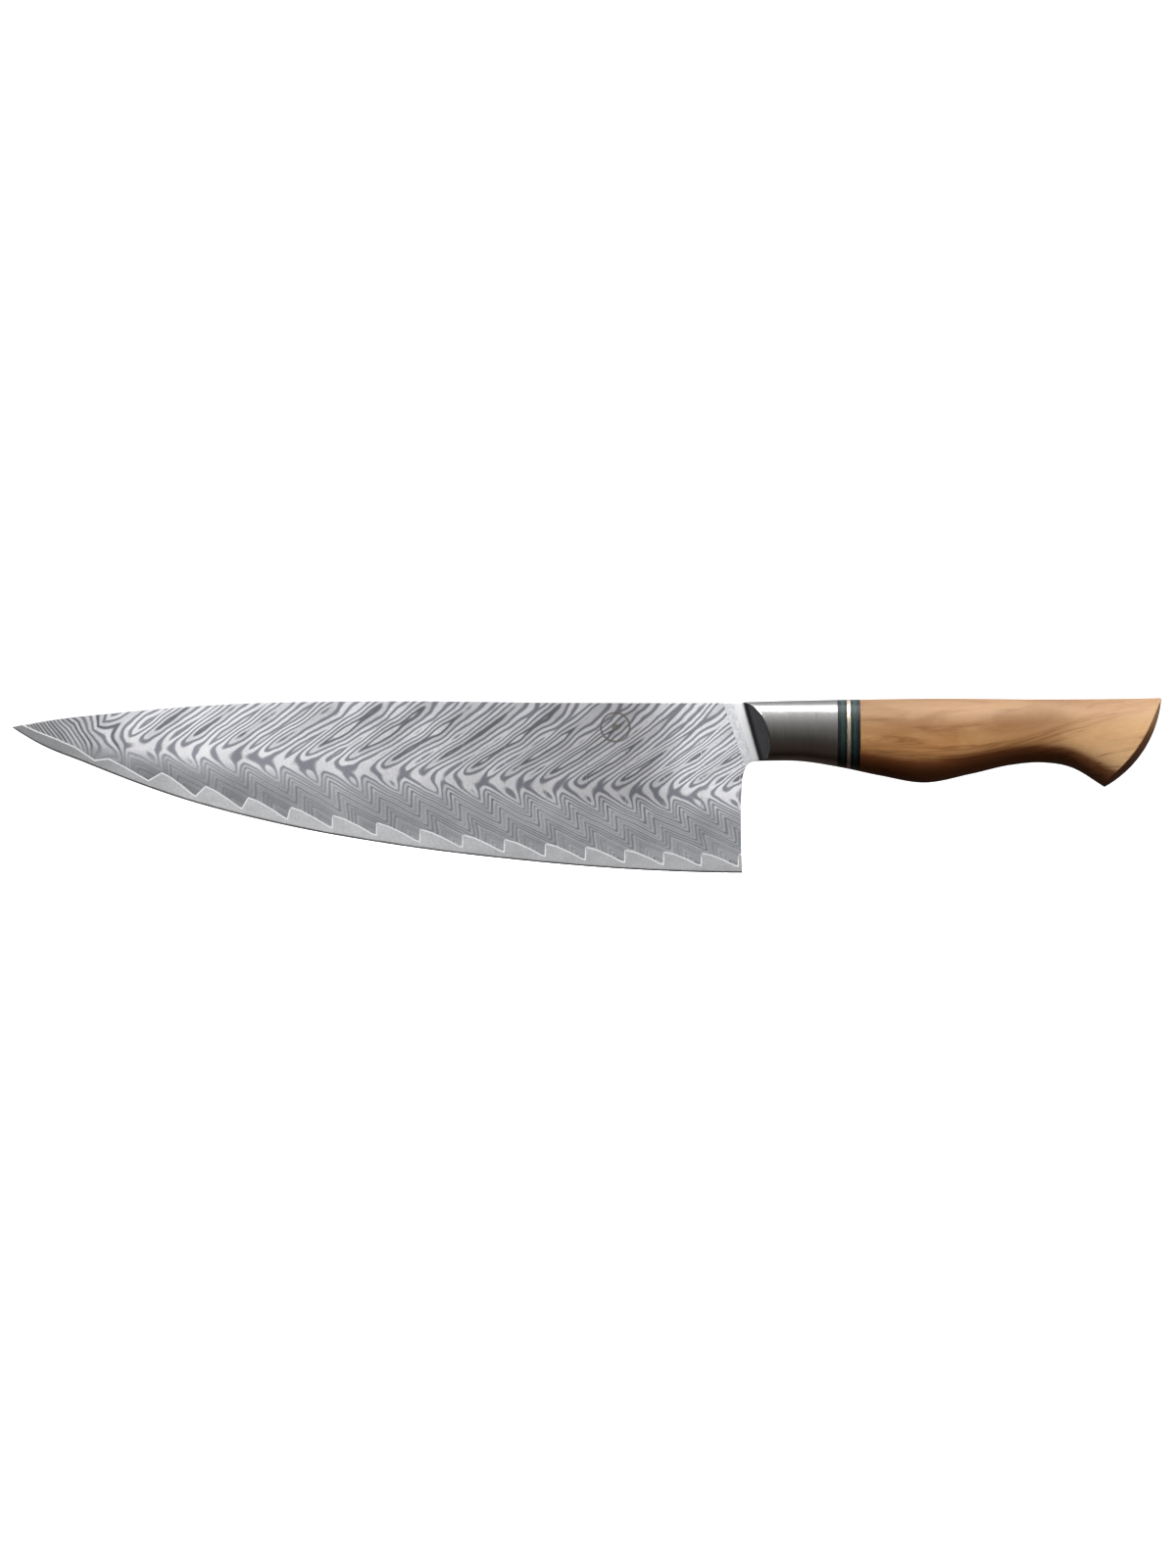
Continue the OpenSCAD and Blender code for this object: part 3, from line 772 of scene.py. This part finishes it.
# ---------------------------------------------------------------- shader helpers
class Graph:
    """Small helper that builds one material's node tree."""

    def __init__(self, name):
        self.material = bpy.data.materials.new(name)
        self.material.use_nodes = True
        self.nodes = self.material.node_tree.nodes
        self.links = self.material.node_tree.links
        self.bsdf = self.nodes["Principled BSDF"]

    def wire(self, source, target):
        """Links a socket to the target, or sets the target to a plain value."""
        if hasattr(source, "is_linked") or hasattr(source, "links"):
            self.links.new(source, target)
        else:
            target.default_value = source

    def layer(self, name):
        """A vertex layer of the mesh, read by name."""
        node = self.nodes.new("ShaderNodeAttribute")
        node.attribute_name = name
        return node.outputs["Fac"]

    def math(self, kind, a, b=0.0, c=0.0):
        node = self.nodes.new("ShaderNodeMath")
        node.operation = kind
        for socket, value in zip(node.inputs, (a, b, c)):
            self.wire(value, socket)
        return node.outputs[0]

    def times(self, value, *factors):
        """Product of values."""
        for factor in factors:
            value = self.math("MULTIPLY", value, factor)
        return value

    def ramp(self, value, low, high, to_low=0.0, to_high=1.0, smooth=True):
        """to_low up to low, to_high from high, and a rise or fall between them."""
        node = self.nodes.new("ShaderNodeMapRange")
        node.interpolation_type = "SMOOTHSTEP" if smooth else "LINEAR"
        for socket, item in zip(node.inputs, (value, low, high, to_low, to_high)):
            self.wire(item, socket)
        return node.outputs[0]

    def place(self, *scale):
        """Object coordinates in millimetres, times one scale for each axis."""
        coords = self.nodes.new("ShaderNodeTexCoord")
        node = self.nodes.new("ShaderNodeMapping")
        node.inputs["Scale"].default_value = tuple(v / MM for v in scale)
        self.links.new(coords.outputs["Object"], node.inputs["Vector"])
        return node.outputs[0]

    def axis(self, name):
        """One object coordinate, in metres."""
        coords = self.nodes.new("ShaderNodeTexCoord")
        split = self.nodes.new("ShaderNodeSeparateXYZ")
        self.links.new(coords.outputs["Object"], split.inputs[0])
        return split.outputs[name]

    def vector(self, x, y, z):
        node = self.nodes.new("ShaderNodeCombineXYZ")
        for socket, value in zip(node.inputs, (x, y, z)):
            self.wire(value, socket)
        return node.outputs[0]

    def facing_up(self):
        """Upward share of the surface's own direction, from -1 to 1."""
        coords = self.nodes.new("ShaderNodeTexCoord")
        split = self.nodes.new("ShaderNodeSeparateXYZ")
        self.links.new(coords.outputs["Normal"], split.inputs[0])
        return split.outputs["Z"]

    def noise(self, vector, detail=2.0, rough=0.5, distort=0.0):
        """Smooth noise about one unit in size, mostly between 0.25 and 0.75."""
        node = self.nodes.new("ShaderNodeTexNoise")
        self.links.new(vector, node.inputs["Vector"])
        node.inputs["Scale"].default_value = 1.0
        node.inputs["Detail"].default_value = detail
        node.inputs["Roughness"].default_value = rough
        node.inputs["Distortion"].default_value = distort
        return node.outputs["Fac"]

    def noise_1d(self, value, offset):
        """Random value that stays the same wherever the input does."""
        node = self.nodes.new("ShaderNodeTexWhiteNoise")
        node.noise_dimensions = "1D"
        self.wire(self.math("ADD", value, offset), node.inputs["W"])
        return node.outputs["Value"]

    def mix_value(self, share, a, b):
        node = self.nodes.new("ShaderNodeMix")
        for socket, item in zip((node.inputs[0], node.inputs[2], node.inputs[3]), (share, a, b)):
            self.wire(item, socket)
        return node.outputs[0]

    def mix(self, share, a, b, blend="MIX"):
        node = self.nodes.new("ShaderNodeMix")
        node.data_type = "RGBA"
        node.blend_type = blend
        self.wire(share, node.inputs[0])
        self.wire(a if not isinstance(a, tuple) else (*a, 1), node.inputs[6])
        self.wire(b if not isinstance(b, tuple) else (*b, 1), node.inputs[7])
        return node.outputs[2]

    def tint(self, colour, tone):
        """A colour times a tone."""
        grey = self.nodes.new("ShaderNodeCombineColor")
        for socket in grey.inputs:
            self.wire(tone, socket)
        return self.mix(1.0, colour, grey.outputs[0], "MULTIPLY")

    def bump(self, value, distance_mm, strength):
        node = self.nodes.new("ShaderNodeBump")
        node.inputs["Strength"].default_value = strength
        node.inputs["Distance"].default_value = distance_mm * MM
        self.wire(value, node.inputs["Height"])
        self.links.new(node.outputs[0], self.bsdf.inputs["Normal"])

    def set(self, socket, value):
        target = self.bsdf.inputs[socket]
        self.wire((*value, 1) if isinstance(value, tuple) else value, target)


# ---------------------------------------------------------------- materials
def painted_blade_shade(m, station, upper):
    """Painted shade and light along the blade: dim at the tip, and in the upper zone also some way
    before the heel.
    """
    away_from_tip = m.ramp(station, 60, 170, 1.0, 0.52, smooth=False)
    heel = m.ramp(station, 172, 192, 0.0, 0.42)
    tip = m.ramp(station, 0, TIP_RUN, 0.42, 1.0)
    high = m.times(m.math("ADD", away_from_tip, heel), tip)
    low = m.ramp(station, 25, 90, 0.68, 1.0)
    return m.mix_value(upper, low, high)


def ring_mark(m):
    """Strength of the plain etched ring with a dot."""
    radius = m.layer("mark_radius")
    off_line = m.math("ABSOLUTE", m.math("SUBTRACT", radius, MARK_R))
    ring = m.ramp(off_line, MARK_LINE, MARK_LINE + 0.1, 0.85, 0.0)
    dot = m.ramp(radius, MARK_DOT, MARK_DOT + 0.15, 0.85, 0.0)
    return m.math("MAXIMUM", ring, dot)


def damascus():
    """Etched two-steel pattern, bright line along the border, satin grain, painted shade along the
    blade.
    """
    m = Graph("damascus")
    layer = m.layer("forge_layer")
    ridge = m.layer("above_ridge")
    station = m.layer("station")
    wave = m.math("COSINE", m.times(layer, 2 * math.pi))
    upper = m.ramp(ridge, -10, -1)
    bright = m.ramp(wave, -0.85, 0.5)
    # the fine lines over the teeth are fainter towards the tip
    faint = m.times(m.ramp(ridge, -1.5, -5), m.ramp(station, 25, 150, 0.7, 0.0))
    bright = m.mix_value(faint, bright, 0.5)
    # each forged layer has its own tone, and the dark ones differ more
    own = m.noise_1d(m.math("ROUND", layer), 7.3)
    dark_own = m.noise_1d(m.math("FLOOR", layer), 3.7)
    tone = m.noise(m.place(0.08, 0.08, 0.08), detail=3)
    # painted shade: the light layers of the bevel below the ridge get a much darker colour than
    # those of the flat zone, as if the slightly downward bevel caught less light
    light = m.mix(upper, (0.44, 0.455, 0.48), (0.96, 0.965, 1.0))
    dark = m.mix(upper, (0.29, 0.30, 0.32), (0.26, 0.265, 0.305))
    light = m.tint(light, m.ramp(own, 0.25, 0.75, 0.86, 1.06))
    dark = m.tint(dark, m.ramp(dark_own, 0.25, 0.75, 0.8, 1.25))
    colour = m.mix(bright, dark, light)
    cloud = m.ramp(tone, 0.3, 0.7, 0.9, 1.08)
    # random clouding times the painted shade and light along the blade
    shade = m.times(cloud, painted_blade_shade(m, station, upper))
    colour = m.tint(colour, shade)
    # bright lines along the teeth and the spine
    rim = m.ramp(m.layer("border_gap"), 0.28, 0.5, 1.0, 0.0)
    colour = m.mix(rim, colour, (0.98, 0.985, 1.0))
    spine = m.ramp(m.layer("spine_gap"), 0.15, 0.5, 0.85, 0.0)
    colour = m.mix(spine, colour, (0.9, 0.9, 0.92))
    colour = m.mix(ring_mark(m), colour, (0.15, 0.13, 0.12))
    grain = m.noise(m.place(3, 3, 3), detail=2)
    m.set("Base Color", m.tint(colour, m.ramp(grain, 0.32, 0.68, 0.88, 1.06)))
    m.bsdf.inputs["Metallic"].default_value = 0.1
    satin = m.ramp(bright, 0, 1, 0.52, 0.4)
    m.set("Roughness", m.math("ADD", satin, m.ramp(grain, 0.3, 0.7, -0.03, 0.03)))
    relief = m.math("ADD", m.times(bright, 0.8), m.times(grain, 0.4))
    m.bump(relief, 0.01, 0.5)
    return m.material


def core_steel():
    """Satin high-carbon core, darker at the tip and the heel, with a dark sharpened edge."""
    m = Graph("core_steel")
    fine = m.noise(m.place(2.2, 2.2, 2.2), detail=4)
    cloud = m.noise(m.place(0.12, 0.12, 0.3), detail=2)
    station = m.layer("station")
    texture = m.times(m.ramp(fine, 0.3, 0.7, 0.92, 1.07), m.ramp(cloud, 0.3, 0.7, 0.93, 1.06))
    ends = (m.ramp(station, 0, 60, 0.5, 1.0), m.ramp(station, 100, 150, 1.0, 0.85))
    tone = m.times(texture, *ends)
    colour = m.tint((0.73, 0.74, 0.76), tone)
    sharpened = m.ramp(m.layer("edge_gap"), SHARP_H - 0.1, SHARP_H + 0.1, 0.75, 0.0)
    m.set("Base Color", m.mix(sharpened, colour, (0.13, 0.13, 0.14)))
    m.bsdf.inputs["Metallic"].default_value = 0.3
    m.set("Roughness", m.ramp(fine, 0.3, 0.7, 0.42, 0.5))
    m.bump(fine, 0.006, 0.4)
    return m.material


def weld_steel():
    """Blotchy filler metal, ground flush and etched with the blade."""
    m = Graph("weld_steel")
    blotch = m.noise(m.place(0.7, 0.7, 0.7), detail=5, rough=0.7, distort=0.6)
    fine = m.noise(m.place(3.2, 3.2, 3.2), detail=3)
    tone = m.times(m.ramp(blotch, 0.35, 0.65, 0.8, 1.05), m.ramp(fine, 0.3, 0.7, 0.94, 1.05))
    m.set("Base Color", m.tint((0.93, 0.945, 0.98), tone))
    m.bsdf.inputs["Metallic"].default_value = 0.15
    m.set("Roughness", m.ramp(blotch, 0.35, 0.65, 0.5, 0.36))
    m.bump(blotch, 0.02, 0.5)
    return m.material


def bolster_steel():
    """Brushed, nearly polished steel; the foot is ground satin, and the scoop at the front is
    painted dark as a painted reflection.
    """
    m = Graph("bolster_steel")
    foot = m.layer("foot")
    scooped = m.layer("scooped")
    brush = m.noise(m.place(6, 0.12, 0.12), detail=3, rough=0.6)
    cloud = m.noise(m.place(0.1, 0.1, 0.1), detail=2)
    tone = m.times(m.ramp(brush, 0.3, 0.7, 0.94, 1.04), m.ramp(cloud, 0.3, 0.7, 0.96, 1.03))
    colour = m.mix(foot, (0.55, 0.54, 0.53), (0.97, 0.975, 0.99))
    # painted reflection: the polished scoop is painted nearly black and made less metallic, as if it
    # mirrored dark surroundings
    colour = m.mix(scooped, colour, (0.055, 0.055, 0.06))
    m.set("Base Color", m.tint(colour, tone))
    m.set("Metallic", m.mix_value(foot, m.ramp(scooped, 0, 1, 1.0, 0.55), 0.0))
    rough = m.ramp(brush, 0.3, 0.7, 0.19, 0.25)
    m.set("Roughness", m.math("MULTIPLY_ADD", foot, 0.26, rough))
    m.bump(brush, 0.004, 0.5)
    return m.material


def spacer_finish(name, colour, metallic):
    """Polished sheet with a faint lengthwise grain."""
    m = Graph(name)
    grain = m.noise(m.place(5, 0.4, 0.4), detail=2)
    tone = m.ramp(grain, 0.3, 0.7, 0.85, 1.15)
    m.set("Base Color", m.tint(colour, tone))
    m.bsdf.inputs["Metallic"].default_value = metallic
    m.set("Roughness", m.ramp(grain, 0.3, 0.7, 0.24, 0.34))
    m.bump(grain, 0.004, 0.4)
    return m.material


def hidden_steel():
    """Scaly forged steel of the tang."""
    m = Graph("tang_steel")
    scale = m.noise(m.place(0.5, 0.5, 0.5), detail=5, rough=0.7)
    tone = m.ramp(scale, 0.35, 0.65, 0.6, 1.1)
    m.set("Base Color", m.tint((0.42, 0.41, 0.40), tone))
    m.bsdf.inputs["Metallic"].default_value = 1.0
    m.set("Roughness", m.ramp(scale, 0.35, 0.65, 0.6, 0.42))
    m.bump(scale, 0.03, 0.5)
    return m.material


def resin():
    """Cured amber adhesive."""
    m = Graph("epoxy")
    bubbles = m.noise(m.place(0.9, 0.9, 0.9), detail=3)
    tone = m.ramp(bubbles, 0.35, 0.65, 0.85, 1.1)
    m.set("Base Color", m.tint((0.72, 0.60, 0.34), tone))
    m.set("Roughness", m.ramp(bubbles, 0.35, 0.65, 0.3, 0.45))
    m.bump(bubbles, 0.03, 0.4)
    return m.material


def olive_wood():
    """Oiled olive wood: soft clouded figure that climbs towards the butt, fine grain and pores."""
    m = Graph("olive_wood")
    x, y, z = m.axis("X"), m.axis("Y"), m.axis("Z")
    # the growth lines run level along the grip and climb in the butt
    level = m.math("SUBTRACT", z, m.ramp(x, 0.098, 0.168, 0.0, 0.014))

    def figure(along, across, up, **looks):
        """Noise stretched along the grain, with one scale for each direction."""
        scaled = [m.times(v, n / MM) for v, n in ((x, along), (y, across), (level, up))]
        return m.noise(m.vector(*scaled), **looks)

    warp = figure(0.03, 0.03, 0.03, detail=1)
    bands = figure(0.018, 0.07, 0.10, detail=4, rough=0.5, distort=1.0)
    lines = figure(0.017, 0.30, 0.42, detail=4, rough=0.6, distort=0.6)
    fine = figure(0.3, 3.2, 3.6, detail=2)
    pores = figure(0.7, 7, 7, detail=1)
    cloud = figure(0.05, 0.09, 0.12, detail=3, rough=0.5, distort=0.8)
    # painted shade: the upper part of the grip gets darker colours than the lower part, to tone down
    # the top, which the lamps light most
    low = m.ramp(z, 0.046, 0.033)
    pale = m.mix(low, (0.37, 0.222, 0.110), (0.66, 0.345, 0.14))
    deep = m.mix(low, (0.27, 0.143, 0.063), (0.47, 0.21, 0.069))
    base = m.mix(m.ramp(bands, 0.38, 0.62), deep, pale)
    base = m.mix(m.ramp(cloud, 0.46, 0.66, 0.0, 0.7), base, pale)
    base = m.mix(m.ramp(cloud, 0.44, 0.32, 0.0, 0.25), base, deep)
    # the lower half of the butt is paler
    butt = m.ramp(x, 0.118, 0.148)
    base = m.mix(m.times(low, butt, 0.55), base, (0.82, 0.56, 0.31))
    streak = m.times(m.ramp(lines, 0.54, 0.60), m.ramp(lines, 0.68, 0.61))
    streak = m.times(streak, m.ramp(bands, 0.35, 0.65, 0.5, 0.12))
    base = m.mix(streak, base, (0.20, 0.075, 0.025))
    tone = m.times(m.ramp(fine, 0.3, 0.7, 0.95, 1.04), m.ramp(warp, 0.3, 0.7, 0.93, 1.06))
    tone = m.times(tone, m.math("MULTIPLY_ADD", butt, 0.1, 1.0))
    base = m.tint(base, tone)
    # painted shade by surface direction: the underside and the top are painted darker, because the
    # soft light alone leaves them too pale
    up = m.facing_up()
    base = m.mix(m.ramp(up, -0.22, -0.44), base, (0.5, 0.32, 0.26), "MULTIPLY")
    base = m.mix(m.ramp(up, 0.5, 0.95), base, (0.74, 0.71, 0.69), "MULTIPLY")
    hole = m.ramp(pores, 0.66, 0.74, 0.0, 0.22)
    base = m.mix(hole, base, (0.16, 0.07, 0.03))
    m.set("Base Color", base)
    m.set("Roughness", m.ramp(fine, 0.3, 0.7, 0.42, 0.5))
    m.bsdf.inputs["Specular IOR Level"].default_value = 0.35
    m.bump(m.math("SUBTRACT", m.times(fine, 0.3), hole), 0.03, 0.35)
    return m.material


# ---------------------------------------------------------------- build
SPACER_LOOKS = {
    "spacer_black": ((0.012, 0.012, 0.015), 0.0),
    "spacer_green": ((0.014, 0.042, 0.036), 0.0),
    "spacer_brass": ((0.82, 0.72, 0.55), 0.85),
}


def build():
    """Makes every piece, and gives the two hidden CAD nodes their materials."""
    steel = damascus()
    cladding(-1, "cladding_left", steel)
    cladding(1, "cladding_right", steel)
    core(core_steel())
    weld(weld_steel())
    bolster(bolster_steel())
    looks = {slot: spacer_finish(slot, *look) for slot, look in SPACER_LOOKS.items()}
    for part in frame["record"]["subparts"]:
        if part["material_slot"] in looks:
            spacer(part["node"], looks[part["material_slot"]])
    handle(olive_wood())
    for name, material in (("tang", hidden_steel()), ("epoxy_bed", resin())):
        piece = frame["nodes"][name]
        piece.data.materials.clear()
        piece.data.materials.append(material)


# ---------------------------------------------------------------- studio
def studio():
    """Pale floor that curves up all round, far enough out to stand behind every view."""
    turns = 96
    steps = 24
    flat = 5.0
    curl = 2.0
    top = 9.0
    bend = np.linspace(0, math.pi / 2, steps)
    radius = [0.02, 1.0, 3.0] + list(flat + curl * np.sin(bend)) + [flat + curl]
    rise = [0.0] * 3 + list(curl * (1 - np.cos(bend))) + [top]
    verts = [(r * math.cos(a), r * math.sin(a), h) for r, h in zip(radius, rise)
             for a in np.arange(turns) * 2 * math.pi / turns]
    mesh = bpy.data.meshes.new("floor")
    mesh.from_pydata(verts, [], ring_faces(len(radius), turns) + [list(range(turns))])
    mesh.shade_smooth()
    m = Graph("floor")
    m.bsdf.inputs["Base Color"].default_value = (0.9, 0.9, 0.9, 1)
    m.bsdf.inputs["Roughness"].default_value = 0.9
    m.bsdf.inputs["Emission Color"].default_value = (1, 1, 1, 1)
    m.bsdf.inputs["Emission Strength"].default_value = 1.0
    mesh.materials.append(m.material)
    floor = bpy.data.objects.new("floor", mesh)
    floor.visible_diffuse = False
    floor.visible_glossy = False
    floor.visible_shadow = False
    bpy.context.scene.collection.objects.link(floor)


# Brightness of the surroundings by height above the horizon, in degrees
SKY = [(-90, (0.008, 0.006, 0.005)), (-60, (0.042, 0.030, 0.025)), (-32, (0.050, 0.041, 0.037)),
       (-16, (0.065, 0.062, 0.058)), (-4, (0.11, 0.107, 0.10)), (6, (0.20, 0.195, 0.185)),
       (19, (0.29, 0.29, 0.285)), (32, (0.40, 0.40, 0.405)), (50, (0.48, 0.48, 0.49)),
       (66, (0.60, 0.60, 0.62)), (90, (0.62, 0.62, 0.64))]


# The bands run along the knife: distance along it counts only in part towards their height
ALONG_SHARE = 0.35


def sky():
    """World light in long bands along the knife, dark towards the tip near the horizon."""
    world = bpy.data.worlds.new("studio")
    bpy.context.scene.world = world
    world.use_nodes = True
    nodes, links = world.node_tree.nodes, world.node_tree.links

    def calc(kind, a, b=None):
        node = nodes.new("ShaderNodeMath")
        node.operation = kind
        for socket, value in zip(node.inputs, (a, b)):
            if isinstance(value, (int, float)):
                socket.default_value = value
            elif value is not None:
                links.new(value, socket)
        return node.outputs[0]

    def span(value, low, high, to_low, to_high):
        node = nodes.new("ShaderNodeMapRange")
        node.interpolation_type = "SMOOTHSTEP"
        links.new(value, node.inputs[0])
        for socket, item in zip(node.inputs[1:5], (low, high, to_low, to_high)):
            socket.default_value = item
        return node.outputs[0]

    coords = nodes.new("ShaderNodeTexCoord")
    split = nodes.new("ShaderNodeSeparateXYZ")
    links.new(coords.outputs["Generated"], split.inputs[0])
    x, y, z = split.outputs
    along = calc("MULTIPLY", ALONG_SHARE, calc("MULTIPLY", x, x))
    level = calc("SQRT", calc("ADD", calc("MULTIPLY", y, y), along))
    lift = calc("ARCTAN2", z, level)
    ramp = nodes.new("ShaderNodeValToRGB")
    links.new(calc("ADD", calc("DIVIDE", lift, math.pi), 0.5), ramp.inputs[0])
    elements = ramp.color_ramp.elements
    elements[0].color = (*SKY[0][1], 1)
    elements[1].color = (*SKY[-1][1], 1)
    for degrees, colour in SKY[1:-1]:
        elements.new(degrees / 180 + 0.5).color = (*colour, 1)
    towards_tip = span(x, -0.95, -0.45, 1.0, 0.0)
    low_down = span(lift, 0.35, 0.9, 1.0, 0.0)
    shade = calc("SUBTRACT", 1.0, calc("MULTIPLY", calc("MULTIPLY", towards_tip, low_down), 0.93))
    back = nodes["Background"]
    links.new(ramp.outputs[0], back.inputs["Color"])
    links.new(shade, back.inputs["Strength"])


def lamp(name, turn, lift, distance, size, radiance):
    """Soft rectangular light aimed at the knife: turned from the front, lifted, in degrees."""
    data = bpy.data.lights.new(name, "AREA")
    data.shape = "RECTANGLE"
    data.size, data.size_y = size
    data.energy = radiance * math.pi * size[0] * size[1]
    piece = bpy.data.objects.new(name, data)
    turn = math.radians(turn)
    lift = math.radians(lift)
    out = distance * math.cos(lift)
    piece.location = (out * math.sin(turn), -out * math.cos(turn), distance * math.sin(lift))
    piece.rotation_euler = (math.pi / 2 - lift, 0, turn)
    bpy.context.scene.collection.objects.link(piece)


# Name, turn and lift in degrees, distance and size in metres, radiance
LAMPS = [
    ("overhead", 0, 90, 1.3, (1.0, 0.6), 2.05),
    ("upper_front", 0, 71, 1.2, (0.9, 0.16), 3),
    ("front_right", 47, 50, 1.6, (0.7, 0.6), 14.7),
    ("front_left", -47, 50, 1.6, (0.7, 0.6), 14.5),
    ("back_right", 133, 50, 1.6, (0.7, 0.6), 7),
    ("back_left", -133, 50, 1.6, (0.7, 0.6), 7),
]

# Camera: lens and sensor in millimetres, height of the picture at the knife and shift in metres
LENS = 200
SENSOR = 36
VIEW_H = 0.4365
EYE_SHIFT = 0.0004


def camera():
    """Level with the knife and square to its side, far enough for a nearly flat view."""
    data = bpy.data.cameras.new("camera")
    data.lens = LENS
    data.sensor_width = SENSOR
    data.clip_end = 50
    piece = bpy.data.objects.new("camera", data)
    centre = (cad_box[0] + cad_box[1]) / 2
    piece.location = (centre.x + EYE_SHIFT, -VIEW_H * LENS / SENSOR, centre.z + EYE_SHIFT)
    piece.rotation_euler = (math.pi / 2, 0, 0)
    bpy.context.scene.collection.objects.link(piece)
    bpy.context.scene.camera = piece


camera()
studio()
sky()
for settings in LAMPS:
    lamp(*settings)
build()
bpy.context.scene.view_settings.view_transform = "Standard"
